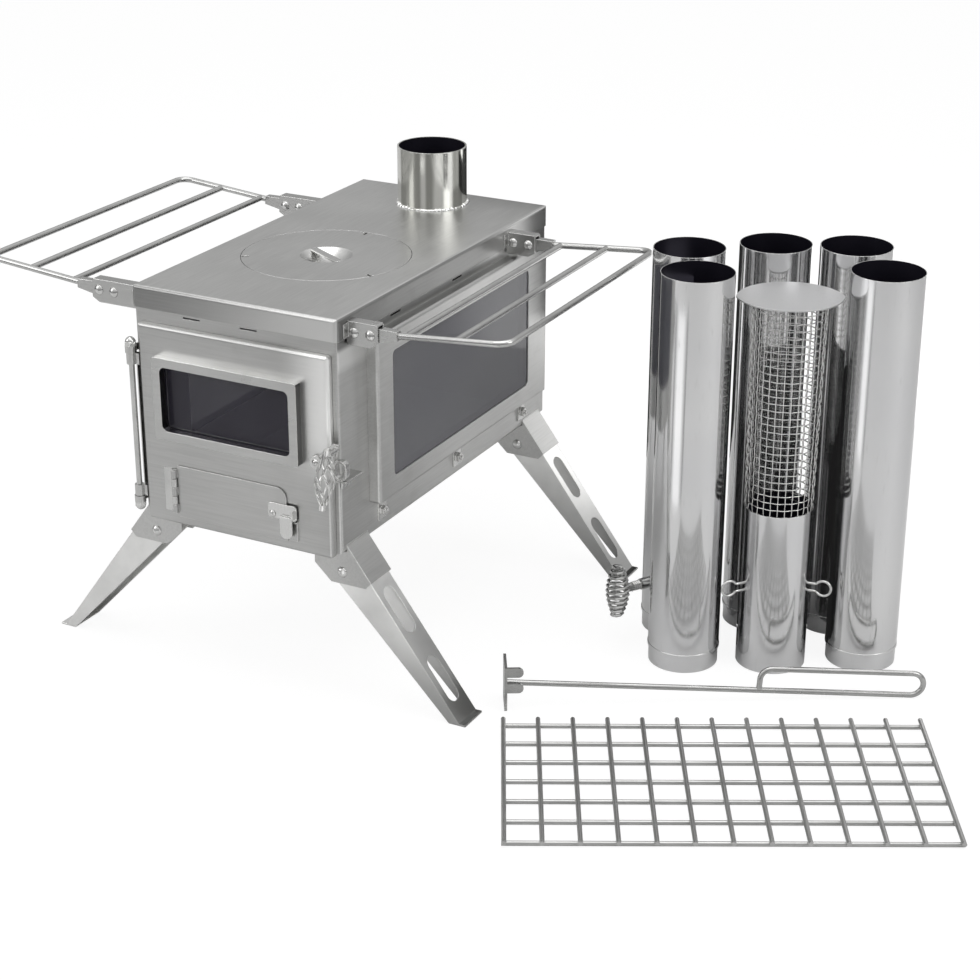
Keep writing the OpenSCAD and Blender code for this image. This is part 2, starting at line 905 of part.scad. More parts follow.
// Folded bracket under the body: two cheeks, a flange on top and a plate that stops the leg
module leg_bracket(y, w) {
    v = leg_web_v + move_gap;
    out = w / 2 + move_gap + bracket_t;
    difference() {
        span_y(y - out, y + out) intersection() {
            difference() {
                polygon([[leg_x - bracket_in, top_z], [leg_x - bracket_in, stand_h - pivot_drop + bracket_side],
                    [leg_x - bracket_low_in, leg_z - bracket_low],
                    [leg_x + bracket_low_out, leg_z - bracket_low],
                    leg_at(plate_down, v + bracket_t), leg_at(-plate_up, v + bracket_t)]);
                rect(0, stand_h, wall_x, top_z + cut);
            }
            rect(0, 0, leg_x + leg_far, stand_h + fold_r + bracket_side);
        }
        span_y(y - out + bracket_t, y + out - bracket_t) intersection() {
            inside_web(v);
            rect(0, 0, leg_x + leg_far, stand_h - bracket_t);
        }
        rod_y(leg_x, leg_z, y - w, y + w, leg_pin_r);
    }
}

module leg_brackets_right() {
    color("silver") for (y = [leg_front_y, leg_back_y]) leg_bracket(y, leg_slim);
}

module leg_brackets_left() {
    color("silver") mirrored() for (y = [leg_front_y, leg_back_y]) leg_bracket(y, leg_wide);
}

// Pivot pins with button heads outside the cheeks
module leg_pin(y, w) {
    out = w / 2 + move_gap + bracket_t;
    rod_y(leg_x, leg_z, y - out, y + out, leg_pin_r);
    for (s = [-1, 1]) translate([leg_x, y + s * out, leg_z]) rotate([-90 * s, 0, 0])
        dome(leg_pin_head_r, leg_pin_head_h);
}

module leg_pins() {
    color("gainsboro") for (y = [leg_front_y, leg_back_y]) {
        leg_pin(y, leg_slim);
        mirrored() leg_pin(y, leg_wide);
    }
}

// Rack of wire, drawn flat from its pivot and then tilted
module rack_pose(x) {
    translate([x, 0, rack_z]) rotate([0, -rack_tilt, 0]) children();
}

module rack(x, more) {
    r = rack_wire / 2;
    y0 = rack_y0 - more;
    y1 = rack_y1 + more;
    rack_pose(x) {
        for (s = [0, 1]) {
            y = s > 0 ? y1 : y0;
            rod_x(y, 0, sleeve_l - rack_wire, rack_reach - rack_corner_r, r);
            translate([rack_reach - rack_corner_r, y, 0]) mirror([0, s, 0]) bend(rack_corner_r, r);
        }
        rod_y(rack_reach, 0, y0 + rack_corner_r, y1 - rack_corner_r, r);
        for (i = [0 : rack_bars - 2])
            rod_y(rack_first + i * (rack_reach - rack_first) / (rack_bars - 1), 0, y0, y1, r);
    }
}

// Tapered sleeves that carry the wire and turn on the rack pins
module rack_sleeves(x, more) {
    rack_pose(x) for (y = [rack_y0 - more, rack_y1 + more]) difference() {
        span_y(y - sleeve_w / 2, y + sleeve_w / 2) {
            circle(sleeve_head_r);
            polygon([[0, -sleeve_head_r], [sleeve_l, -sleeve_end_h / 2],
                [sleeve_l, sleeve_end_h / 2], [0, sleeve_head_r]]);
        }
        rod_y(0, 0, y - sleeve_w, y + sleeve_w, rack_pin_r + run_gap);
        rod_x(y, 0, sleeve_l - rack_wire, sleeve_l + cut, rack_wire / 2);
    }
}

module rack_right() {
    color("gainsboro") rack(rack_x, 0);
}

module rack_left() {
    color("gainsboro") mirrored() rack(rack_left_x, rack_left_more);
}

module rack_sleeves_right() {
    color("silver") rack_sleeves(rack_x, 0);
}

module rack_sleeves_left() {
    color("silver") mirrored() rack_sleeves(rack_left_x, rack_left_more);
}

// Brackets on the top plate's edge, open below so that the racks fold down
module rack_brackets(x, more) {
    inner = sleeve_w / 2 + cheek_gap;
    for (y = [rack_y0 - more, rack_y1 + more]) translate([0, y, 0]) difference() {
        union() {
            span_y(-inner - cheek_t, inner + cheek_t) polygon([
                [half_w, rack_z - cheek_down], [half_w, rack_z + cheek_up + cheek_t],
                [x + cheek_out - cheek_t, rack_z + cheek_up + cheek_t],
                [x + cheek_out, rack_z + cheek_up],
                [x + cheek_out, rack_z - cheek_out],
                [x, rack_z - cheek_down]]);
            block(half_w, -inner - cheek_t - flange_w, skirt_z + cheek_t,
                half_w + cheek_t, inner + cheek_t, rack_z + cheek_up);
        }
        block(half_w + cheek_t, -inner, rack_z - cheek_down - cut,
            x + cheek_out + cut, inner, rack_z + cheek_up);
        for (pin_x = [x, x - fixed_in])
            rod_y(pin_x, rack_z, -inner - 2 * cheek_t, inner + 2 * cheek_t, rack_pin_r);
    }
}

module rack_brackets_right() {
    color("silver") rack_brackets(rack_x, 0);
}

module rack_brackets_left() {
    color("silver") mirrored() rack_brackets(rack_left_x, rack_left_more);
}

// Pivot rivets and fixed rivets of a pair of rack brackets
module rack_pin_set(x, more) {
    out = sleeve_w / 2 + cheek_gap + cheek_t;
    for (y = [rack_y0 - more, rack_y1 + more], pin_x = [x, x - fixed_in]) {
        rod_y(pin_x, rack_z, y - out, y + out, rack_pin_r);
        for (s = [-1, 1]) translate([pin_x, y + s * out, rack_z]) rotate([-90 * s, 0, 0])
            dome(rack_pin_head_r, rack_pin_head_h);
    }
}

module rack_pins() {
    color("gainsboro") {
        rack_pin_set(rack_x, 0);
        mirrored() rack_pin_set(rack_left_x, rack_left_more);
    }
}

// Tongue on the side of the body, on which the door catch rests
module latch_keeper() {
    z = ring_z - ring_r - ring_tall / 2 - move_gap;
    color("silver") {
        block(wall_x, lever_y0 - ring_w / 2, z - keeper_t,
            wall_x + keeper_reach, -half_l + keeper_l, z);
        block(wall_x, -half_l + keeper_t, z - keeper_reach,
            wall_x + keeper_t, -half_l + keeper_l, z);
    }
}

module door_panel() {
    color("lightgray") difference() {
        intersection() {
            span_y(door_y, door_back) soft_rect(door_x0, door_z0, door_x1, door_z1, fold_r);
            span_x(door_x0, door_x1)
                soft_rect(door_y, door_z0, door_back + door_lap, door_z1, fold_r);
            span_z(door_z0, door_z1)
                soft_rect(door_x0, door_y, door_x1, door_back + door_lap, fold_r);
        }
        block(door_x0 + sheet, door_skin_y, door_z0 + sheet,
            door_x1 - sheet, door_back + cut, door_z1 - sheet);
        span_y(door_y - cut, door_back) soft_rect(pane_x0, pane_z0, pane_x1, pane_z1, pane_r);
        span_y(door_y - cut, door_back)
            soft_rect(hatch_x0 + hatch_lap, hatch_z0 + hatch_lap,
                hatch_x1 - hatch_lap_right, hatch_z1 - hatch_lap, view_r);
        rod_y(grip_x, grip_z, door_y - cut, door_back, grip_pin_r);
    }
}

// Raised frame round the glass opening
module window_frame() {
    color("gainsboro") span_y(door_y - pane_rim_t, door_y) difference() {
        soft_rect(pane_x0 - pane_rim, pane_z0 - pane_rim, pane_x1 + pane_rim, pane_z1 + pane_rim, pane_r / 2);
        soft_rect(pane_x0, pane_z0, pane_x1, pane_z1, pane_r);
    }
}

module door_glass() {
    color([0.4, 0.4, 0.45, 0.6]) block(pane_x0 - glass_lap, door_skin_y, pane_z0 - glass_lap,
        pane_x1 + glass_lap, door_skin_y + glass_t, pane_z1 + glass_lap);
}

// Frame behind the glass, folded forward to the door's skin
module glass_retainer() {
    y0 = door_skin_y + glass_t;
    color("gray") difference() {
        block(pane_x0 - glass_lap - sheet, door_skin_y, pane_z0 - glass_lap - sheet,
            pane_x1 + glass_lap + sheet, y0 + sheet, pane_z1 + glass_lap + sheet);
        block(pane_x0 - glass_lap, door_skin_y - cut, pane_z0 - glass_lap,
            pane_x1 + glass_lap, y0, pane_z1 + glass_lap);
        block(pane_x0 - glass_lap + retainer_w, door_skin_y, pane_z0 - glass_lap + retainer_w,
            pane_x1 + glass_lap - retainer_w, y0 + 2 * sheet, pane_z1 + glass_lap - retainer_w);
    }
}

// Door's own knuckles, which turn on the hinge pin between the eyelets
module door_knuckles() {
    color("silver") for (z = [knuckle_low_z, knuckle_top_z]) difference() {
        union() {
            rod_z(hinge_x, hinge_y, z, z + knuckle_h, hinge_eye_r - knuckle_tab_t / 2);
            block(hinge_x, hinge_y, z, door_x0, hinge_y + knuckle_tab_t + hinge_r, z + knuckle_h);
        }
        rod_z(hinge_x, hinge_y, z - cut, z + knuckle_h + cut, hinge_r + run_gap);
    }
}

// Rivet and washer that carry the door handle
module handle_rivet() {
    color("gainsboro") {
        rod_y(grip_x, grip_z, lever_y0 - move_gap, door_skin_y, grip_pin_r);
        rod_y(grip_x, grip_z, door_skin_y, door_skin_y + grip_washer_t, grip_washer_r);
        rod_y(grip_x, grip_z, lever_y0 - move_gap - grip_washer_t, lever_y0 - move_gap, grip_washer_r);
        translate([grip_x, lever_y0 - move_gap - grip_washer_t, grip_z]) rotate([90, 0, 0])
            dome(grip_pin_r, grip_head_h);
    }
}

// Flat lever with the ring that catches beside the body, and the post of the grip
module handle_lever() {
    color("silver") {
        difference() {
            span_y(lever_y0, lever_y1) {
                translate([grip_x, grip_z]) circle(grip_washer_r);
                polygon([[grip_x, grip_z - lever_h / 2], [ring_x - ring_r + ring_t / 2, ring_z - lever_h / 2],
                    [ring_x - ring_r + ring_t / 2, ring_z + lever_h / 2],
                    [cage_top_x, cage_top_z + post_r],
                    [cage_top_x - 2 * post_r, cage_top_z + post_r], [grip_x, grip_z + lever_h / 2]]);
            }
            rod_y(grip_x, grip_z, lever_y0 - cut, lever_y1 + cut, grip_pin_r + run_gap);
        }
        span_y(lever_y1 - ring_w, lever_y1) translate([ring_x, ring_z]) difference() {
            catch_ring(ring_r);
            catch_ring(ring_r - ring_t);
        }
        rod_y(cage_top_x - post_r, cage_top_z - post_r, cage_y, lever_y1, post_r);
    }
}

module catch_ring(r) {
    for (s = [-1, 1]) translate([0, s * ring_tall / 2]) circle(r, $fn = small_fn);
    rect(-r, -ring_tall / 2, r, ring_tall / 2);
}

// One wire of the twisted grip: it swells from the axis and winds part of a turn round it
function cage_path(first) = [for (i = [0 : cage_rings])
    let (t = i / cage_rings, a = first + t * cage_turn,
        swell = cage_end_r + (cage_r - cage_wire / 2 - cage_end_r) * sin(180 * t))
    [swell * cos(a), swell * sin(a), -t * cage_l]];

// Birdcage of wires between two hubs
module handle_cage() {
    color("gainsboro") translate([cage_top_x - post_r, cage_y, cage_top_z]) rotate([0, cage_lean, 0]) {
        for (i = [0 : cage_wires - 1])
            tube(cage_path(360 * i / cage_wires), cage_wire / 2, cage_sides, [0, 0, 1]);
        translate([0, 0, -cage_hub_l / 2]) cylinder(h = cage_hub_l, r = cage_hub_r, $fn = small_fn);
        translate([0, 0, -cage_l - cage_hub_l / 2])
            cylinder(h = cage_hub_l, r = cage_hub_r, $fn = small_fn);
    }
}

// Height of one barrel of the hatch hinge, and the ends of the stack
hatch_pin_z0 = hatch_z0 + hatch_pin_in;
barrel_h = (hatch_h - 2 * hatch_pin_in) / hatch_barrels;
barrel_gap = 0.2;

module hatch_barrel(i, r) {
    z = hatch_pin_z0 + i * barrel_h;
    rod_z(hatch_pin_x, hatch_pin_y, z + barrel_gap, z + barrel_h - barrel_gap, r);
}

// Plate over the air inlet, with its own barrels and one rounded corner
module air_hatch() {
    x0 = hatch_pin_x + hatch_barrel_r + move_gap;
    color("lightgray") difference() {
        union() {
            span_y(hatch_out_y, hatch_out_y + sheet) difference() {
                union() {
                    rect(x0, hatch_z0, hatch_x1, hatch_z1 - hatch_corner);
                    rect(x0, hatch_z0, hatch_x1 - hatch_corner, hatch_z1);
                    translate([hatch_x1 - hatch_corner, hatch_z1 - hatch_corner])
                        circle(hatch_corner);
                }
                translate([latch_x, latch_z]) circle(latch_pin_r);
            }
            for (i = [0 : 2 : hatch_barrels - 1]) {
                hatch_barrel(i, hatch_barrel_r);
                z = hatch_pin_z0 + i * barrel_h;
                block(hatch_pin_x, hatch_out_y, z + barrel_gap,
                    x0 + hatch_gap, hatch_out_y + sheet, z + barrel_h - barrel_gap);
            }
        }
        rod_z(hatch_pin_x, hatch_pin_y, hatch_z0, hatch_z1, hatch_pin_r + run_gap);
    }
}

// Pin of the hatch hinge with the barrels and the leaf that are welded to the door
module hatch_hinge_pin() {
    color("silver") {
        rod_z(hatch_pin_x, hatch_pin_y, hatch_z0 + hatch_pin_in, hatch_z1 - hatch_pin_in, hatch_pin_r);
        for (i = [1 : 2 : hatch_barrels - 1]) {
            hatch_barrel(i, hatch_barrel_r);
            z = hatch_pin_z0 + i * barrel_h;
            block(hatch_pin_x - hatch_barrel_r - sheet, hatch_pin_y, z + barrel_gap,
                hatch_pin_x - hatch_barrel_r + sheet, door_y, z + barrel_h - barrel_gap);
        }
        block(hatch_pin_x - hatch_barrel_r - hatch_leaf_w, door_y - sheet, hatch_pin_z0,
            hatch_pin_x - hatch_barrel_r - hatch_gap, door_y, hatch_z1 - hatch_pin_in);
    }
}

module hatch_rivet() {
    front = hatch_out_y - latch_gap - latch_t - latch_gap;
    color("gainsboro") {
        rod_y(latch_x, latch_z, front, hatch_out_y + sheet, latch_pin_r);
        translate([latch_x, front, latch_z]) rotate([90, 0, 0]) dome(latch_head_r, latch_head_h);
    }
}

// Latch plate with its bent end and the finger tongue that hangs from it
module hatch_latch() {
    y1 = hatch_out_y - latch_gap;
    y0 = y1 - latch_t;
    tongue_x = latch_x + tongue_in;
    tongue_z = latch_z - tongue_drop;
    r = tongue_w / 2;
    color("gainsboro") {
        difference() {
            span_y(y0, y1) soft_rect(latch_x - latch_in, latch_z - latch_down,
                latch_x + latch_out, latch_z + latch_up, fold_r);
            rod_y(latch_x, latch_z, y0 - cut, y1 + cut, latch_pin_r + run_gap);
        }
        block(tongue_x, y0 - tongue_out, latch_z - latch_down, tongue_x + tongue_w, y0, latch_z);
        span_y(y0 - tongue_out, y0 - tongue_out + latch_t) {
            translate([tongue_x + r, tongue_z + r]) circle(r);
            rect(tongue_x, tongue_z + r, tongue_x + tongue_w, latch_z);
        }
        block(latch_x + latch_out - latch_t, y0 - 2 * tongue_out, latch_z, latch_x + latch_out,
            y0, latch_z + latch_up - fold_r);
    }
}

// Leaf on the door, on which the end of the hatch latch rests
module hatch_stop() {
    x1 = latch_x + latch_out;
    z1 = latch_z - latch_down - move_gap;
    color("silver") {
        block(x1 - stop_w, hatch_out_y - latch_t, z1 - latch_t, x1, door_y, z1);
        block(x1 - stop_w, door_y - latch_t, z1 - 3 * stop_w, x1, door_y, z1);
    }
}

// Plain flue pipe with a narrowed end, a bead above it and an open top
module pipe_wall_profile() {
    bead_z = spigot_l + pipe_bead_h;
    difference() {
        union() {
            rect(0, 0, spigot_r, spigot_l + pipe_wall);
            rect(0, spigot_l, pipe_r, pipe_l);
            rect(0, spigot_l, pipe_r + pipe_bead, bead_z);
        }
        rect(-cut, -cut, spigot_r - pipe_wall, spigot_l + pipe_wall + cut);
        rect(-cut, spigot_l + pipe_wall, pipe_bore_r, pipe_l + cut);
    }
}

module pipe() {
    rotate_extrude() pipe_wall_profile();
}

// Place on the floor beside the stove
module beside(off) {
    translate([half_w + off.x, half_l + off.y, 0]) children();
}

module pipe_front_left() {
    color("gainsboro") beside(pipe_front_left_off) pipe();
}

module pipe_front_right() {
    color("gainsboro") beside(pipe_front_right_off) pipe();
}

module pipe_back_middle() {
    color("gainsboro") beside(pipe_back_middle_off) pipe();
}

module pipe_back_right() {
    color("gainsboro") beside(pipe_back_right_off) pipe();
}

// Place of the damper: X runs along its shaft out to the handle
module damper_pose() {
    beside(damper_off) translate([0, 0, damper_up]) rotate([0, 0, damper_turn]) children();
}

module damper_pipe() {
    color("gainsboro") difference() {
        beside(damper_off) pipe();
        damper_pose() rod_x(0, 0, -pipe_od, pipe_od, shaft_r + run_gap);
    }
}

boss_x = pipe_r + pipe_bead + boss_gap;
fork_x = boss_x + boss_l + spring_l;

module damper_shaft() {
    color("silver") damper_pose() difference() {
        union() {
            rod_x(0, 0, -pipe_r - shaft_tail, fork_x + fork_r, shaft_r);
            rod_x(0, 0, boss_x, boss_x + boss_l, boss_r);
        }
        translate([-blade_r, -sheet / 2, -shaft_d]) cube([2 * blade_r, sheet, 2 * shaft_d]);
    }
}

// Round plate let into a slot of the shaft, shown open
module damper_blade() {
    color("silver") damper_pose() rotate([90, 0, 0]) translate([0, 0, -sheet / 2])
        cylinder(h = sheet, r = blade_r);
}

// Wound wire with straight ends one wire thick, along Z from the foot to the top
function wind(l, turns, wire, r0, r1) =
    let (n = turns * coil_rings, straight = wire)
    concat(
        [[r0, -straight, 0]],
        [for (i = [0 : n]) let (t = i / n, a = 360 * turns * t, r = r0 + (r1 - r0) * sin(180 * t))
            [r * cos(a), r * sin(a), t * l]],
        [[r0, straight, l]]);

spring_path = wind(spring_l - 2 * spring_wire, spring_turns, spring_wire,
    shaft_r + spring_wire, spring_r);
coil_path = wind(coil_l, coil_turns, coil_wire, coil_end_r, coil_r);
echo(spring_least_gap = least_gap(spring_path, spring_wire, coil_rings - 2));
echo(coil_least_gap = least_gap(coil_path, coil_wire, coil_rings - 2));

// Small spring round the shaft between the boss and the fork
module damper_spring() {
    color("gainsboro") damper_pose() translate([boss_x + boss_l + spring_wire, 0, 0])
        rotate([0, 90, 0]) tube(spring_path, spring_wire / 2, coil_sides, [0, 0, 1]);
}

// Barrel-shaped coil that stays cool in the hand, with the fork that carries it
module damper_grip() {
    color("gainsboro") damper_pose() {
        translate([coil_out, 0, -coil_l / 2]) tube(coil_path, coil_wire / 2, coil_sides, [0, 0, 1]);
        for (s = [-1, 1])
            fork_arm([fork_x + fork_r, 0, 0], [coil_out + coil_end_r, 0, s * coil_l / 2]);
        rod_x(0, 0, fork_x, fork_x + 2 * fork_r, shaft_r + fork_r);
    }
}

// Straight wire between two points
module fork_arm(a, b) {
    d = b - a;
    translate(a) rotate([0, 90 - atan2(d.z, d.x), 0]) cylinder(h = norm(d), r = fork_r, $fn = small_fn);
}

// Inner radius of the arrestor's tube, and of its basket at a height
arrestor_bore_r = arrestor_r - pipe_wall;
function basket_r(z) =
    arrestor_bore_r + mesh_flare * (z - arrestor_tube_h) / (mesh_top - arrestor_tube_h);

// Plain tube with two small studs that stop it on the pipe below
module arrestor_tube() {
    color("gainsboro") beside(arrestor_off) difference() {
        union() {
            cylinder(h = arrestor_tube_h, r = arrestor_r);
            for (a = [kit_turn, kit_turn + 180]) rotate([0, 0, a])
                rod_x(0, stop_up, arrestor_bore_r, arrestor_r + stop_h, stop_r);
        }
        translate([0, 0, -cut]) cylinder(h = arrestor_tube_h + 2 * cut, r = arrestor_bore_r);
    }
}

// Basket of square holes that stops sparks, a little wider at its top
module arrestor_mesh() {
    z0 = arrestor_tube_h - mesh_lap;
    h = mesh_top - z0;
    pitch = (h - 2 * mesh_band) / mesh_rows;
    hole = 2 * PI * arrestor_bore_r / mesh_columns - mesh_bar;
    color("silver") beside(arrestor_off) difference() {
        translate([0, 0, z0]) cylinder(h = h, r1 = basket_r(z0), r2 = basket_r(mesh_top));
        translate([0, 0, z0 - cut]) cylinder(h = h + 2 * cut,
            r1 = basket_r(z0 - cut) - mesh_t, r2 = basket_r(mesh_top + cut) - mesh_t);
        for (i = [0 : mesh_rows - 1], k = [0 : mesh_columns / 2 - 1])
            rotate([0, 0, 360 * k / mesh_columns])
                block(-cap_r, -hole / 2, z0 + mesh_band + i * pitch + mesh_bar / 2,
                    cap_r, hole / 2, z0 + mesh_band + (i + 1) * pitch - mesh_bar / 2);
    }
}

// Flat plate over the basket, cut from two arcs that meet in two tips
module arrestor_cap() {
    arc_r = (cap_r * cap_r + cap_deep * cap_deep) / (2 * cap_deep);
    color("gainsboro") beside(arrestor_off) translate([0, 0, mesh_top]) rotate([0, 0, kit_turn])
        linear_extrude(sheet) intersection() {
            translate([0, cap_deep - arc_r]) circle(arc_r);
            translate([0, arc_r - cap_deep]) circle(arc_r);
        }
}

// Omega-shaped wire loops on the tube, for the guy lines
module guy_loops() {
    r = loop_wire / 2;
    foot_z = loop_r * sin(loop_mouth / 2);
    foot_l = loop_foot + loop_r * (1 - cos(loop_mouth / 2));
    color("gainsboro") beside(arrestor_off) for (a = [kit_turn - loop_turn, kit_turn + 180 + loop_turn])
        rotate([0, 0, a]) translate([arrestor_r, 0, loop_up]) {
            translate([loop_foot + loop_r, 0, 0]) rotate([90, 0, 0])
                rotate([0, 0, loop_mouth / 2 - 180])
                    rotate_extrude(angle = 360 - loop_mouth, $fn = small_fn)
                        translate([loop_r, 0]) circle(r);
            for (s = [-1, 1]) rod_x(0, s * foot_z, -pipe_wall / 2, foot_l, r);
        }
}

// Rod with a long loop for the hand and an upright blade with two prongs
module ash_scraper() {
    r = scraper_wire / 2;
    bend_r = (loop_h - scraper_wire) / 2;
    far = scraper_l - r - bend_r;
    near = scraper_l - loop_l;
    tilt = asin((blade_h / 2 - r) / far);
    head_z = far * sin(tilt) + r + bend_r * (1 - cos(tilt));
    color("silver") beside(scraper_off) rotate([0, 0, scraper_turn]) {
        translate([0, 0, head_z]) rotate([0, tilt, 0]) {
            rod_x(0, 0, -blade_t / 2, far, r);
            rod_x(0, 2 * bend_r, near + bend_r, far, r);
            translate([far, 0, bend_r]) rotate([90, 0, 0]) rotate([0, 0, -90])
                rotate_extrude(angle = 180, $fn = small_fn) translate([bend_r, 0]) circle(r);
            translate([near + bend_r, 0, bend_r]) rotate([90, 0, 0]) rotate([0, 0, 90])
                rotate_extrude(angle = 90, $fn = small_fn) translate([bend_r, 0]) circle(r);
            rod_z(near, 0, r / 2, bend_r, r);
        }
        span_x(-blade_t, 0) soft_rect(-blade_w / 2, 0, blade_w / 2, blade_h, blade_t);
        for (i = [0, 1]) translate([0, 0, blade_h - prong_h - i * (prong_h + prong_gap)])
            span_y(-blade_w / 2, -blade_w / 2 + blade_t) {
                rect(-blade_t, 0, prong_l - prong_h / 2, prong_h);
                translate([prong_l - prong_h / 2, prong_h / 2]) circle(prong_h / 2, $fn = small_fn);
            }
    }
}

// Welded wire grate that carries the logs, with its cross wires turned down at both ends
module log_grate() {
    r = grate_wire / 2;
    step_x = (grate_l - grate_wire) / (grate_cross - 1);
    step_y = (grate_w - grate_wire) / (grate_long - 1);
    top = r + grate_wire - grate_bite;
    color("silver") beside(grate_off) rotate([0, 0, grate_turn])
        translate([-grate_l / 2 + r, -grate_w / 2 + r, 0]) {
            for (i = [0 : grate_long - 1])
                rod_x(i * step_y, r, -r, grate_l - r, r);
            for (i = [0 : grate_cross - 1])
                rod_y(i * step_x, top, -grate_stub, (grate_long - 1) * step_y + grate_stub, r);
        }
}

body_shell();
front_panel();
back_panel();
top_plate();
flue_collar();
hot_plate_seat();
side_pan_right();
side_pan_left();
side_glass_right();
side_glass_left();
side_clips_right();
side_clips_left();
hinge_eyelets();
door_hinge_pin();
hinge_pin_nuts();
leg_brackets_right();
leg_brackets_left();
leg_pins();
rack_brackets_right();
rack_brackets_left();
rack_pins();
latch_keeper();
hot_plate();
hot_plate_bar();
door_panel();
window_frame();
door_glass();
glass_retainer();
door_knuckles();
handle_rivet();
hatch_hinge_pin();
hatch_stop();
handle_lever();
handle_cage();
air_hatch();
hatch_rivet();
hatch_latch();
leg_front_right();
leg_front_left();
leg_rear_right();
leg_rear_left();
rack_right();
rack_left();
rack_sleeves_right();
rack_sleeves_left();
pipe_front_left();
pipe_front_right();
pipe_back_middle();
pipe_back_right();
damper_pipe();
damper_shaft();
damper_blade();
damper_spring();
damper_grip();
arrestor_tube();
arrestor_mesh();
arrestor_cap();
guy_loops();
ash_scraper();
log_grate();
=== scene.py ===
import math

import bpy
from mathutils import Matrix, Vector


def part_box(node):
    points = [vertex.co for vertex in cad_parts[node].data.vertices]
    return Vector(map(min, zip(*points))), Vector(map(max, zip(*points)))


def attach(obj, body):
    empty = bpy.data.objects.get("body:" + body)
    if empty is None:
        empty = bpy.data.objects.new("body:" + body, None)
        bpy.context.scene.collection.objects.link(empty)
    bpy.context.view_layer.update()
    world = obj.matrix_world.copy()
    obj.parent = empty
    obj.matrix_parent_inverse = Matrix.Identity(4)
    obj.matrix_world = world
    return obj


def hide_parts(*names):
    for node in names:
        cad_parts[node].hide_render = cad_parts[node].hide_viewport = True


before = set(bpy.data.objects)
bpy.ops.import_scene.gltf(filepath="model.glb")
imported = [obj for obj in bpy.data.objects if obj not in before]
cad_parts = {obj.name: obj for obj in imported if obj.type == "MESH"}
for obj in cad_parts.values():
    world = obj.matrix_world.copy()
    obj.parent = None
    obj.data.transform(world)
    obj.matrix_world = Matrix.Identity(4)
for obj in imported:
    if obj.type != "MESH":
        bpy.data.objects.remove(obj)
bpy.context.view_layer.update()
MM = 0.001


# The firebox is folded from 1.2 mm stainless sheet: a wrapped floor with both sides, and end
# sheets let in at the front and the back. The sheet has a fine brushed grain. Near the lid a
# painted highlight lightens the sides, and right below the lid's edge a painted shadow strip
# fades out to the back.
class Shade:
    """One output of a node. Arithmetic on it adds Math nodes."""

    def __init__(self, finish, socket):
        self.finish = finish
        self.socket = socket

    def math(self, operation, *values):
        inputs = dict(enumerate(values))
        return self.finish.add("ShaderNodeMath", {"operation": operation}, inputs)

    def __add__(self, other):
        return self.math("ADD", self, other)

    __radd__ = __add__

    def __sub__(self, other):
        return self.math("SUBTRACT", self, other)

    def __rsub__(self, other):
        return self.math("SUBTRACT", other, self)

    def __mul__(self, other):
        return self.math("MULTIPLY", self, other)

    __rmul__ = __mul__

    def within(self, low, high):
        """0 at low, 1 at high and even between them, with no values outside."""
        settings = {"interpolation_type": "SMOOTHSTEP"}
        inputs = {"Value": self, "From Min": low, "From Max": high}
        return self.finish.add("ShaderNodeMapRange", settings, inputs)


class Finish:
    """The nodes of one material, or of the world."""

    def __init__(self, owner):
        self.owner = owner
        owner.use_nodes = True
        self.tree = owner.node_tree

    def add(self, kind, settings=None, values=None, out=0):
        """Adds a node, sets it, then gives its inputs values or links, and returns one output."""
        node = self.tree.nodes.new(kind)
        for key, value in (settings or {}).items():
            setattr(node, key, value)
        for key, value in (values or {}).items():
            self.plug(node.inputs[key], value)
        return Shade(self, node.outputs[out])

    def plug(self, socket, value):
        """Links a socket to a Shade, or gives it a plain value."""
        if isinstance(value, Shade):
            self.tree.links.new(value.socket, socket)
        else:
            socket.default_value = value

    def place(self):
        """The place on the piece, in its own axes."""
        return self.add("ShaderNodeTexCoord", out="Object")

    def stretched(self, scale):
        """The place on the piece, drawn out so that a pattern turns into grain."""
        return self.add("ShaderNodeMapping", None, {"Vector": self.place(), "Scale": scale})

    def noise(self, scale, detail=2.0, vector=None):
        """Noise from 0 to 1 over the piece."""
        values = {"Vector": vector or self.place(), "Scale": scale, "Detail": detail}
        return self.add("ShaderNodeTexNoise", None, values)

    def mix(self, factor, first, second):
        """Blends two colours, from the first at 0 to the second at 1."""
        settings = {"data_type": "RGBA"}
        return self.add("ShaderNodeMix", settings, {0: factor, 6: first, 7: second}, 2)

    def bump(self, height, depth, below=None):
        """The normal of a relief, which lies on the relief below it."""
        values = {"Height": height, "Distance": depth, "Strength": 1.0}
        if below:
            values["Normal"] = below
        return self.add("ShaderNodeBump", None, values)

    def rounded(self, radius):
        """The normal of the surface with its sharp folds rounded off."""
        return self.add("ShaderNodeBevel", {"samples": 4}, {"Radius": radius})

    def folds(self, rounded):
        """1 along the sharp folds, where a painted highlight goes, and 0 on flat sheet."""
        flat = self.add("ShaderNodeNewGeometry", out="Normal")
        settings = {"operation": "DOT_PRODUCT"}
        same = self.add("ShaderNodeVectorMath", settings, {0: rounded, 1: flat}, "Value")
        return (1 - same).within(0.01, 0.14)

    def along(self, axis):
        """How far a point lies along an axis."""
        return self.add("ShaderNodeSeparateXYZ", None, {0: self.place()}, axis)

    def tint(self, share, colour):
        """Goes over to another colour where the share is 1."""
        base = self.tree.nodes["Principled BSDF"].inputs["Base Color"].links[0].from_socket
        self.surface(Base_Color=self.mix(share, Shade(self, base), colour))

    def surface(self, **values):
        """Fills inputs of the main shader, whose names have _ for each space here."""
        shader = self.tree.nodes["Principled BSDF"]
        for key, value in values.items():
            self.plug(shader.inputs[key.replace("_", " ")], value)
        return self


def finish(name):
    """A new material."""
    return Finish(bpy.data.materials.new(name))


def grey(tone, blue=0.985):
    """A grey that is a little warm where blue is below 1."""
    return (tone, tone, tone * blue, 1)


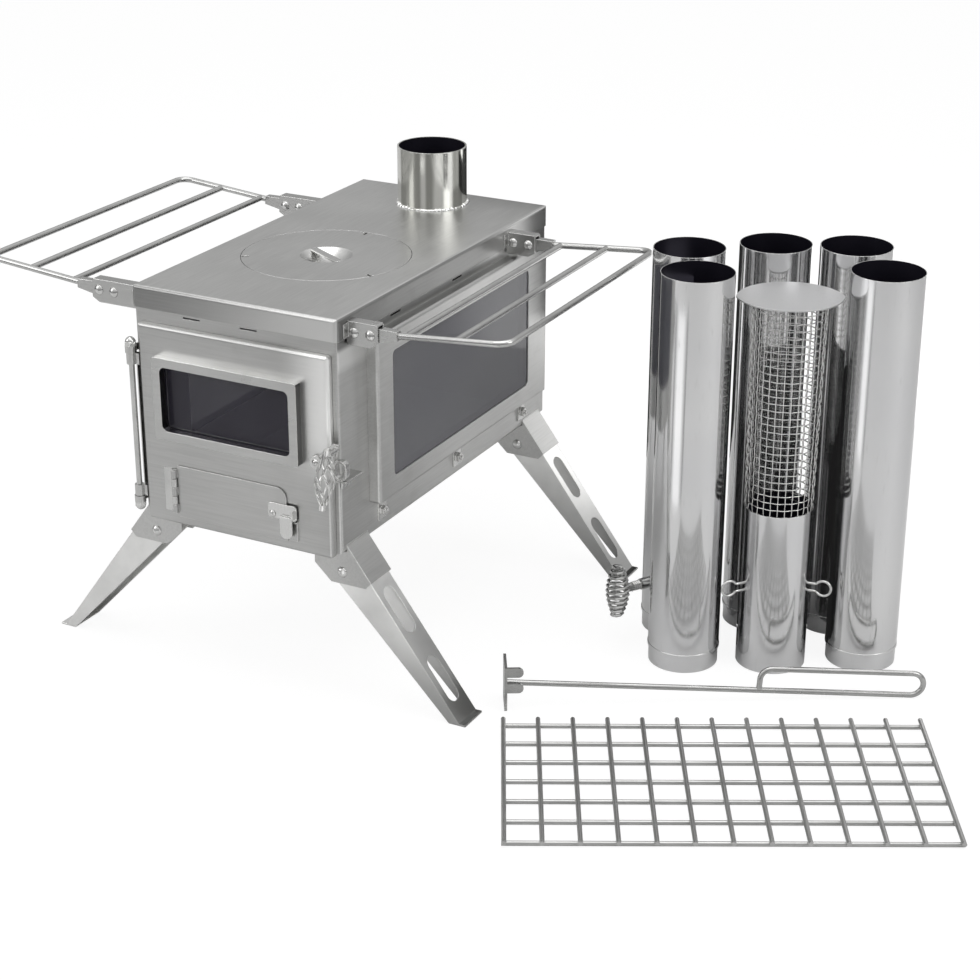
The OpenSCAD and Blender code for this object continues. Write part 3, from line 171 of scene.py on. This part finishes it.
def brushed(name, tone, grain, roughness=0.33, unevenness=2.0):
    """Brushed sheet of a tone from 0 to 1, with its grain along the axis where grain is small."""
    steel = finish(name)
    streaks = steel.noise(1.0, 3.0, steel.stretched(grain))
    patches = steel.noise(7.0, 2.0)
    stains = steel.noise(38.0, 4.0).within(0.56, 0.74)
    wear = (streaks * 0.5 + patches * 0.5).within(0.32, 0.68)
    colour = steel.mix(wear, grey(tone * 0.91), grey(tone * 1.07))
    stained = steel.mix(stains * 0.14, colour, grey(tone * 0.7, 0.95))
    rounded = steel.rounded(1.0 * MM)
    waves = steel.bump(patches, unevenness * MM, rounded)
    steel.surface(
        # Along the sharp folds the colour turns light grey: a painted highlight.
        Base_Color=steel.mix(steel.folds(rounded) * 0.6, stained, grey(0.92)),
        Metallic=1.0,
        Roughness=roughness + streaks * 0.09 + stains * 0.05 - 0.045,
        Normal=steel.bump(streaks, 0.02 * MM, waves),
    )
    return steel


def dress(steel, *names):
    """Gives pieces of the CAD model their finish."""
    for name in names:
        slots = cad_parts[name].data.materials
        slots.clear()
        slots.append(steel.owner)


X, Y, Z = 0, 1, 2
ACROSS = (24, 620, 620)
ALONG = (620, 24, 620)
UPRIGHT = (620, 620, 24)
NO_GRAIN = (46, 46, 46)
body_steel = brushed("body sheet", 0.55, ALONG)
lid_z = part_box("top_plate")[0].z
# A painted highlight: a lighter band on the sides below the lid.
bright = body_steel.along(Z).within(lid_z - 32.5 * MM, lid_z - 20.5 * MM)
body_steel.tint(bright, grey(0.8))
# A painted shadow: a dark strip right under the lid's edge, fading out to the back.
painted_shade_strip = body_steel.along(Z).within(lid_z - 11.5 * MM, lid_z - 5.5 * MM)
far_back = body_steel.along(Y).within(30 * MM, 120 * MM)
body_steel.tint(painted_shade_strip * (1 - far_back), grey(0.26))
dress(body_steel, "body_shell")
end_steel = brushed("end sheets", 0.5, ACROSS)
dress(end_steel, "front_panel", "back_panel")


# The top plate is one sheet with a turned-down edge all round, and a ring below it carries the
# hot plate; the ring is painted dark as the shade in the gap round the hot plate. The edge is
# painted dark as shade too, with a painted highlight that grows lighter to the right in front
# and to the back at the sides.
dress(brushed("top plate", 0.56, ALONG, roughness=0.34), "top_plate")
# The seat ring is painted near black, as the shade in the gap round the hot plate.
dress(brushed("plate seat painted shade", 0.16, ALONG, roughness=0.5), "hot_plate_seat")
# The turned-down edge takes darker copies of the plate sheet as painted shade; their lighter ends
# are a painted highlight.
front_edge_painted_shade = brushed("front edge", 0.3, ACROSS)
front_edge_painted_shade.tint(front_edge_painted_shade.along(X).within(-90 * MM, 100 * MM), grey(0.66))
side_edge_painted_shade = brushed("side edge painted shade", 0.3, ALONG)
side_edge_painted_shade.tint(side_edge_painted_shade.along(Y).within(50 * MM, 150 * MM), grey(0.92))
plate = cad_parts["top_plate"].data
plate.materials.append(front_edge_painted_shade.owner)
plate.materials.append(side_edge_painted_shade.owner)
FACING = 0.6
# Faces turned to the front or the sides get the painted-shade edge materials.
for face in plate.polygons:
    if abs(face.normal.y) > FACING:
        face.material_index = 1
    elif abs(face.normal.x) > FACING:
        face.material_index = 2


# The flue collar is a rolled and polished tube, welded on with a bead of small round drops. Dark
# bands up its wall are painted reflections, and inside it is painted dark as shade.
def polished(name, roughness=0.1, tone=0.72, ripple=0.16, blue=1.0, bands=0.0):
    """Mirror-polished sheet rolled to a tube, which keeps faint flats along its length."""
    tube = finish(name)
    flats = tube.noise(1.0, 1.0, tube.stretched((85, 85, 1.2)))
    patches = tube.noise(9.0, 2.0)
    scuffs = tube.noise(1.0, 5.0, tube.stretched((420, 420, 60))).within(0.58, 0.8)
    clean = grey(tone, blue)
    worn = tube.mix(patches.within(0.35, 0.7) * 0.35, clean, grey(tone * 0.86, blue * 1.03))
    # Where bands is above 0, dark bands along the faint flats are painted reflections.
    with_painted_bands = tube.mix(flats.within(0.46, 0.6) * bands, worn, grey(tone * 0.3, blue * 0.95))
    scuffed = tube.mix(scuffs * 0.25, with_painted_bands, grey(tone * 0.7))
    rounded = tube.rounded(0.5 * MM)
    tube.surface(
        # Along the sharp edges the colour turns light grey: a painted highlight.
        Base_Color=tube.mix(tube.folds(rounded) * 0.7, scuffed, grey(0.95)),
        Metallic=1.0,
        Roughness=roughness + patches.within(0.4, 0.75) * 0.05 + scuffs * 0.12,
        Normal=tube.bump(flats, ripple * MM, rounded),
    )
    return tube


def line(name, steel, bore):
    """Gives a tube its finish, and the faces inside it, nearer than bore, the painted dark shade.
    """
    dress(steel, name)
    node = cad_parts[name]
    node.data.materials.append(painted_dark_bore.owner)
    low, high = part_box(name)
    centre = Vector(((low.x + high.x) / 2, (low.y + high.y) / 2, 0))
    for face in node.data.polygons:
        out = Vector((face.center.x - centre.x, face.center.y - centre.y, 0))
        if out.length < bore and face.normal.dot(out) < 0:
            face.material_index = 1


# The dark bore material is painted shade and dark reflection deep inside a tube.
painted_dark_bore = finish("dark bore")
haze = painted_dark_bore.noise(18.0, 3.0)
painted_dark_bore.surface(
    Base_Color=painted_dark_bore.mix(haze, (0.010, 0.009, 0.016, 1), (0.028, 0.025, 0.04, 1)),
    Metallic=0.6,
    Roughness=0.3 + haze * 0.14,
)
# The collar's dark bands are painted reflections of a dark studio.
collar_steel = polished(
    "collar steel", roughness=0.13, tone=0.95, ripple=0.7, blue=0.95, bands=0.72
)
COLLAR_BORE = 31.6 * MM
line("flue_collar", collar_steel, COLLAR_BORE)


def rings_mesh(rings, closed):
    """A mesh through rings of points; the last joins the first if closed, or both get a lid."""
    sides = len(rings[0])
    points = [point for ring in rings for point in ring]
    faces = []
    for i in range(len(rings) if closed else len(rings) - 1):
        low = i * sides
        high = (i + 1) % len(rings) * sides
        for k in range(sides):
            after = (k + 1) % sides
            faces.append((low + k, low + after, high + after, high + k))
    if not closed:
        faces.append(tuple(reversed(range(sides))))
        faces.append(tuple(range(len(points) - sides, len(points))))
    return points, faces


def piece(name, parts, steel, body, slot, *replaced):
    """One smooth object made of several (points, faces), which rides on a body."""
    points = []
    faces = []
    for part_points, part_faces in parts:
        start = len(points)
        points += part_points
        faces += [tuple(start + i for i in face) for face in part_faces]
    mesh = bpy.data.meshes.new(name)
    mesh.from_pydata([tuple(p) for p in points], [], faces)
    mesh.polygons.foreach_set("use_smooth", [True] * len(mesh.polygons))
    mesh.update()
    mesh.materials.append(steel.owner)
    made = bpy.data.objects.new(name, mesh)
    bpy.context.scene.collection.objects.link(made)
    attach(made, body)
    if replaced:
        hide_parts(*replaced)
    return made


def wire(path, thickness, closed=False, sides=6):
    """A round wire along a path of points."""
    rings = []
    side = None
    for i, point in enumerate(path):
        before = path[i - 1] if closed or i else point
        after = path[(i + 1) % len(path)] if closed or i + 1 < len(path) else point
        along = (after - before).normalized()
        side = side or along.orthogonal()
        side = (side - along * side.dot(along)).normalized()
        other = along.cross(side)
        ring = []
        for k in range(sides):
            lean = 2 * math.pi * k / sides
            ring.append(point + (side * math.cos(lean) + other * math.sin(lean)) * thickness / 2)
        rings.append(ring)
    return rings_mesh(rings, closed)


def drawn(name, tone, roughness=0.22):
    """Drawn wire and rod: smooth all round, with duller patches where it has been handled."""
    steel = finish(name)
    patches = steel.noise(26.0, 3.0)
    pulled = steel.noise(240.0, 2.0)
    steel.surface(
        Base_Color=steel.mix(patches.within(0.35, 0.7), grey(tone), grey(tone * 0.86)),
        Metallic=1.0,
        Roughness=roughness + patches * 0.1 - 0.04,
        Normal=steel.bump(pulled, 0.012 * MM),
    )
    return steel


weld_steel = drawn("weld drops", 0.85, roughness=0.16)
collar_low, collar_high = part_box("flue_collar")
collar_x = (collar_low.x + collar_high.x) / 2
collar_y = (collar_low.y + collar_high.y) / 2
COLLAR_R = 32.75 * MM
BEAD_OUT = 0.3 * MM
BEAD_UP = 0.1 * MM
BEAD_R = 1.75 * MM
BEAD_SIDES = 10
DROPS = 48
STEPS = DROPS * 6
weld_rings = []
for i in range(STEPS):
    turn = 2 * math.pi * i / STEPS
    uneven = 0.2 * math.sin(5 * turn) + 0.16 * math.sin(13 * turn + 1)
    swell = 0.62 + 0.55 * abs(math.sin(DROPS * turn / 2)) + uneven
    ring = []
    for k in range(BEAD_SIDES):
        lean = 2 * math.pi * k / BEAD_SIDES
        out = COLLAR_R + BEAD_OUT + BEAD_R * swell * math.cos(lean)
        up = collar_low.z + BEAD_UP + BEAD_R * swell * math.sin(lean)
        ring.append((collar_x + out * math.cos(turn), collar_y + out * math.sin(turn), up))
    weld_rings.append(ring)
weld_mesh = rings_mesh(weld_rings, closed=True)
piece("collar_weld", [weld_mesh], weld_steel, "root", "stainless_sheet")


# The hot plate is a loose disc with a pressed finger cup, a lifting bar across it and three
# notches in its rim.
plate_steel = brushed("hot plate", 0.58, ALONG, roughness=0.3, unevenness=1.0)
dress(plate_steel, "hot_plate")
bright_steel = brushed("bright fittings", 0.66, ALONG, roughness=0.2, unevenness=0.4)
dress(bright_steel, "hot_plate_bar")


# The side windows are panes of smoky heat-proof glass behind folded pans. Three clips below each
# pan hold it, with small nuts on studs.
pan_steel = brushed("window pans", 0.54, ALONG)
dress(pan_steel, "side_pan_right", "side_pan_left")


def smoky(name, tint, cover):
    """Tinted glass with a little soot on it."""
    glass = finish(name)
    soot = glass.noise(9.0, 4.0).within(0.3, 0.75)
    glass.surface(
        Base_Color=glass.mix(soot, (*tint, 1), (tint[0] * 0.7, tint[1] * 0.7, tint[2] * 0.75, 1)),
        Roughness=0.04 + soot * 0.06,
        Alpha=cover + soot * 0.1,
        IOR=1.5,
    )
    return glass


side_glass = smoky("side glass", tint=(0.16, 0.16, 0.175), cover=0.72)
dress(side_glass, "side_glass_right", "side_glass_left")
dress(bright_steel, "side_clips_right", "side_clips_left")


# The door is a folded tray, which turns on a rod between two eyelets that are welded to the body.
# A painted highlight lightens it beside the handle. The folded frame round its glass has a
# painted highlight where it faces up and painted shade where it faces right, and stands further
# out than in the CAD model.
door_steel = brushed("door sheet", 0.49, ACROSS)
door_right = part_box("door_panel")[1].x
# Near its right edge, high up, the sheet is painted lighter: a painted highlight.
at_right = door_steel.along(X).within(door_right - 50 * MM, door_right)
high_up = door_steel.along(Z).within(190 * MM, 250 * MM)
door_steel.tint(at_right * high_up * 0.9, grey(0.98))
dress(door_steel, "door_panel")
frame_steel = brushed("window frame", 0.51, ACROSS, roughness=0.25, unevenness=0.8)
frame_fold_painted_highlight = brushed("frame fold painted highlight", 0.95, ACROSS, roughness=0.2)
frame_side_painted_shade = brushed("frame side painted shade", 0.1, UPRIGHT, roughness=0.3)
FURTHER_OUT = Vector((0, -5 * MM, 0))
FRAME_SHIFT = Vector((3 * MM, 0, 2.2 * MM))
SLACK = 0.1 * MM
flat_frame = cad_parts["window_frame"].data
frame_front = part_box("window_frame")[0].y
frame_points = []
for corner in flat_frame.vertices:
    place = corner.co + FRAME_SHIFT
    if corner.co.y < frame_front + SLACK:
        place = place + FURTHER_OUT
    frame_points.append(place)
frame_faces = [tuple(face.vertices) for face in flat_frame.polygons]
frame_mesh = (frame_points, frame_faces)
deep = piece("deep_frame", [frame_mesh], frame_steel, "door", "stainless_sheet", "window_frame")
deep.data.materials.append(frame_fold_painted_highlight.owner)
deep.data.materials.append(frame_side_painted_shade.owner)
# Faces turned up get a painted highlight, faces turned right get painted shade.
for face in deep.data.polygons:
    face.use_smooth = False
    if face.normal.z > FACING:
        face.material_index = 1
    elif face.normal.x > FACING:
        face.material_index = 2
dress(body_steel, "glass_retainer")
dress(smoky("door glass", tint=(0.05, 0.046, 0.066), cover=0.42), "door_glass")
rod_steel = drawn("drawn rod", 0.62)
dress(rod_steel, "door_hinge_pin", "hinge_eyelets", "door_knuckles")
dress(bright_steel, "hinge_pin_nuts", "handle_rivet")


# The air hatch hangs on its own small hinge, and a pressed latch with a finger tongue turns on a
# rivet to shut it.
hatch_steel = brushed("hatch sheet", 0.5, ACROSS, roughness=0.32)
dress(hatch_steel, "air_hatch", "hatch_stop")
dress(rod_steel, "hatch_hinge_pin")
dress(bright_steel, "hatch_latch", "hatch_rivet")


# The door handle is a flat lever with a ring that catches beside the body, and a birdcage grip of
# six twisted wires, which stays cool.
dress(bright_steel, "handle_lever", "latch_keeper")
dress(drawn("cage wire", 0.74, roughness=0.17), "handle_cage")


# The legs are tapered channels with slots, each between the cheeks of a folded bracket. The slim
# right legs fold into the wide left ones. They are a lighter copy of the sheet, a painted
# highlight, and painted shade darkens them towards their feet. The sheet of all four shows no
# grain.
slim_steel = brushed("slim leg sheet", 0.94, NO_GRAIN, roughness=0.3)
# Painted shade darkens the slim legs towards their feet.
slim_steel.tint(1 - slim_steel.along(Z).within(5 * MM, 120 * MM), grey(0.36))
dress(slim_steel, "leg_front_right", "leg_rear_right")
wide_steel = brushed("wide leg sheet", 0.78, NO_GRAIN, roughness=0.3)
dress(wide_steel, "leg_front_left", "leg_rear_left")
dress(pan_steel, "leg_brackets_right", "leg_brackets_left")
dress(bright_steel, "leg_pins")


# Each rack is welded from 5.5 mm wire, a bent rod with straight bars across it. Its tapered
# sleeves turn on pins in folded brackets, so that it hangs down beside the body when it is folded.
wire_steel = drawn("rack wire", 0.54, roughness=0.24)
dress(wire_steel, "rack_right", "rack_left")
dress(frame_steel, "rack_sleeves_right", "rack_sleeves_left")
dress(frame_steel, "rack_brackets_right", "rack_brackets_left")
dress(bright_steel, "rack_pins")


# The flue pipes are rolled from mirror-polished sheet. Inside they are painted dark, with a
# faint purple tint, as the shade deep in a tube.
pipe_steel = polished("pipe steel")
PIPE_BORE = 31.4 * MM
for name in ("pipe_front_left", "pipe_front_right", "pipe_back_middle", "pipe_back_right"):
    line(name, pipe_steel, PIPE_BORE)


# The damper is a round plate on a shaft through its pipe. A small spring holds it where it is
# set, and a barrel-shaped coil of wire on a fork stays cool in the hand.
line("damper_pipe", pipe_steel, PIPE_BORE)
dress(rod_steel, "damper_shaft", "damper_spring", "damper_grip")
dress(pipe_steel, "damper_blade")


# The spark arrestor is a plain tube with a basket of woven wire let into it, a flat plate on top
# and two bent wire loops for the guy lines.
ARRESTOR_BORE = 30.6 * MM
line("arrestor_tube", pipe_steel, ARRESTOR_BORE)
dress(polished("arrestor plate", roughness=0.45, tone=0.64, ripple=0.01), "arrestor_cap")
mesh_steel = drawn("mesh wire", 0.74, roughness=0.2)
dress(mesh_steel, "guy_loops", "arrestor_mesh")
basket_low, basket_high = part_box("arrestor_mesh")
basket_x = (basket_low.x + basket_high.x) / 2
basket_y = (basket_low.y + basket_high.y) / 2
basket_h = basket_high.z - basket_low.z
MESH_WIRE = 1.0 * MM
WEAVE = 0.4 * MM
FLARE = 2.4 * MM
COLUMNS = 30
ROWS = 31
FREE_END = 0.004
top_r = (basket_high.x - basket_low.x) / 2 - MESH_WIRE / 2 - WEAVE


def basket_point(turn, share, weave):
    """A point on the basket; the weave swings from 1 outside to -1 inside."""
    out = top_r - FLARE * (1 - share) + WEAVE * weave
    x = basket_x + out * math.cos(turn)
    y = basket_y + out * math.sin(turn)
    return Vector((x, y, basket_low.z + basket_h * share))


def share_at(row):
    """The share of the basket's height at a row, with a small share free at each end."""
    return FREE_END + (1 - 2 * FREE_END) * row / (ROWS - 1)


basket = []
for k in range(COLUMNS):
    turn = 2 * math.pi * k / COLUMNS
    path = []
    for j in range(2 * ROWS - 1):
        path.append(basket_point(turn, share_at(j / 2), math.cos(math.pi * (j / 2 + k))))
    basket.append(wire(path, MESH_WIRE))
for i in range(ROWS):
    share = share_at(i)
    path = []
    for n in range(4 * COLUMNS):
        turn = math.pi * n / (2 * COLUMNS)
        path.append(basket_point(turn, share, -math.cos(math.pi * (i + n / 4))))
    basket.append(wire(path, MESH_WIRE, closed=True))
piece("woven_basket", basket, mesh_steel, "arrestor", "steel_wire", "arrestor_mesh")


# The ash scraper is a rod with a welded loop for the hand and a blade with two prongs. The log
# grate is welded from drawn wire.
dress(drawn("scraper rod", 0.5, roughness=0.26), "ash_scraper")
dress(drawn("grate wire", 0.5, roughness=0.3), "log_grate")


# The stove stands in a white studio. Its steel shows the studio dark low down, grey at the sides
# and light above. The camera looks down on it from the front right.
scene = bpy.context.scene
scene.view_settings.view_transform = "Standard"
lens = bpy.data.cameras.new("camera")
lens.sensor_width = 36.0
lens.lens = 81.02
camera = bpy.data.objects.new("camera", lens)
scene.collection.objects.link(camera)
scene.camera = camera
STAND = (0.993892, -1.627897, 0.926757)
TURN = math.radians(27.649)
DROP = math.radians(23.26)
ROLL = 0.0019975
camera.matrix_world = (
    Matrix.Translation(STAND)
    @ Matrix.Rotation(TURN, 4, "Z")
    @ Matrix.Rotation(math.pi / 2 - DROP, 4, "X")
    @ Matrix.Rotation(ROLL, 4, "Z")
)

world = bpy.data.worlds.new("studio")
scene.world = world
air = Finish(world)
seen = air.add("ShaderNodeLightPath", out="Is Camera Ray")
shiny = air.add("ShaderNodeLightPath", out="Is Glossy Ray")
clear = air.add("ShaderNodeLightPath", out="Is Transmission Ray")
way = air.add("ShaderNodeTexCoord", out="Generated")
height = air.add("ShaderNodeSeparateXYZ", None, {0: way}, Z)
sides = air.mix(height.within(-0.1, 0.08), (0.05, 0.05, 0.055, 1), (0.46, 0.46, 0.46, 1))
walls = air.mix(height.within(0.24, 0.82), sides, (0.9, 0.9, 0.9, 1))
plain = air.mix(shiny + clear, (0.5, 0.5, 0.5, 1), walls)
backdrop = air.mix(seen, plain, (1, 1, 1, 1))
air.plug(air.tree.nodes["Background"].inputs["Color"], backdrop)


def stage_sheet(name, corners):
    """A flat sheet of the studio, which is no piece of the stove."""
    mesh = bpy.data.meshes.new(name)
    mesh.from_pydata(corners, [], [(0, 1, 2, 3)])
    made = bpy.data.objects.new(name, mesh)
    scene.collection.objects.link(made)
    return made


def flat_sheet(name, low, high, z):
    """A level sheet from its front left corner to its back right one."""
    (left, front), (right, back) = low, high
    corners = [(left, front, z), (right, front, z), (right, back, z), (left, back, z)]
    return stage_sheet(name, corners)


# The table is the part of the floor that shows in the steel. The paper on it reaches further, and
# only the camera sees it. It takes faint shadows and looks nearly white.
white = finish("white paper")
white.surface(Base_Color=(0.78, 0.78, 0.78, 1), Roughness=0.6)
lit = white.tree.nodes["Principled BSDF"].outputs[0]
glow = white.add("ShaderNodeEmission", None, {"Color": (1, 1, 1, 1), "Strength": 1.12})
eye = white.add("ShaderNodeLightPath", out="Is Camera Ray")
both = white.add("ShaderNodeMixShader", None, {0: eye * 0.8, 1: Shade(white, lit), 2: glow})
white.plug(white.tree.nodes["Material Output"].inputs["Surface"], both)
table = flat_sheet("table", (-1.7, -1.7), (1.8, 1.7), -0.3 * MM)
table.data.materials.append(white.owner)
table.visible_camera = False
paper = flat_sheet("paper", (-8, -8), (8, 8), -0.2 * MM)
paper.data.materials.append(white.owner)
paper.visible_glossy = False
paper.visible_diffuse = False
paper.visible_transmission = False
paper.visible_shadow = False


# Boards stand round the stove and only show in the steel. Black ones give the pipes and the collar
# their dark edges, white ones in front and behind the light bands, and a white card the light on
# the stove's right side. Each is clear from behind, so two stand back to back between the pipes.
def board(name, start, end, foot, top, light, fade=0):
    """An upright board that glows to its front; fade is the width of its soft ends along x."""
    corners = [(*start, foot), (*end, foot), (*end, top), (*start, top)]
    made = stage_sheet(name, corners)
    paint = finish(name)
    tone = (1, 1, 1, 1)
    if fade:
        along = paint.along(X)
        low = min(start[X], end[X])
        high = max(start[X], end[X])
        band = along.within(low, low + fade) * (1 - along.within(high - fade, high))
        tone = paint.mix(band, (0.3, 0.3, 0.3, 1), tone)
    glow = paint.add("ShaderNodeEmission", None, {"Color": tone, "Strength": light})
    behind = paint.add("ShaderNodeNewGeometry", out="Backfacing")
    clear = paint.add("ShaderNodeBsdfTransparent")
    both = paint.add("ShaderNodeMixShader", None, {0: behind, 1: glow, 2: clear})
    paint.plug(paint.tree.nodes["Material Output"].inputs["Surface"], both)
    made.data.materials.append(paint.owner)
    made.visible_camera = False
    made.visible_diffuse = False
    made.visible_shadow = False
    made.visible_transmission = False


board("black board left", (-0.15, 0.3), (0.2, 0.5), foot=0, top=0.37, light=0.02)
board("black board middle", (0.45, 0.118), (0.345, 0.062), foot=0, top=0.27, light=0.015)
board("black board behind", (0.345, 0.062), (0.45, 0.118), foot=0, top=0.27, light=0.015)
board("black board collar", (-0.04, 0.24), (0.16, 0.24), foot=0.22, top=0.37, light=0.03)
board("white board", (0.32, -0.394), (0.04, -0.306), foot=0, top=0.21, light=1.25, fade=0.1)
board("white board back", (0.1, 0.7), (0.54, 0.7), foot=0, top=0.45, light=1.6, fade=0.1)
board("white card", (0.31, 0.15), (0.31, -0.14), foot=0.05, top=0.35, light=0.8)


def lamp(name, place, aim, size, power):
    """A soft box of width and height size, turned to aim, with its power in watts."""
    light = bpy.data.lights.new(name, "AREA")
    light.shape = "RECTANGLE"
    light.size, light.size_y = size
    light.energy = power
    made = bpy.data.objects.new(name, light)
    made.location = place
    made.rotation_euler = (Vector(aim) - Vector(place)).to_track_quat("-Z", "Y").to_euler()
    scene.collection.objects.link(made)


lamp("ceiling lamp", (0.1, -0.1, 2.1), aim=(0.1, 0, 0), size=(2.0, 1.6), power=17)
lamp("left lamp", (-1.5, -1.4, 1.3), aim=(0.1, 0, 0.2), size=(0.9, 1.2), power=9)
lamp("right lamp", (1.9, -0.2, 1.2), aim=(0.3, 0, 0.2), size=(0.8, 1.2), power=7)
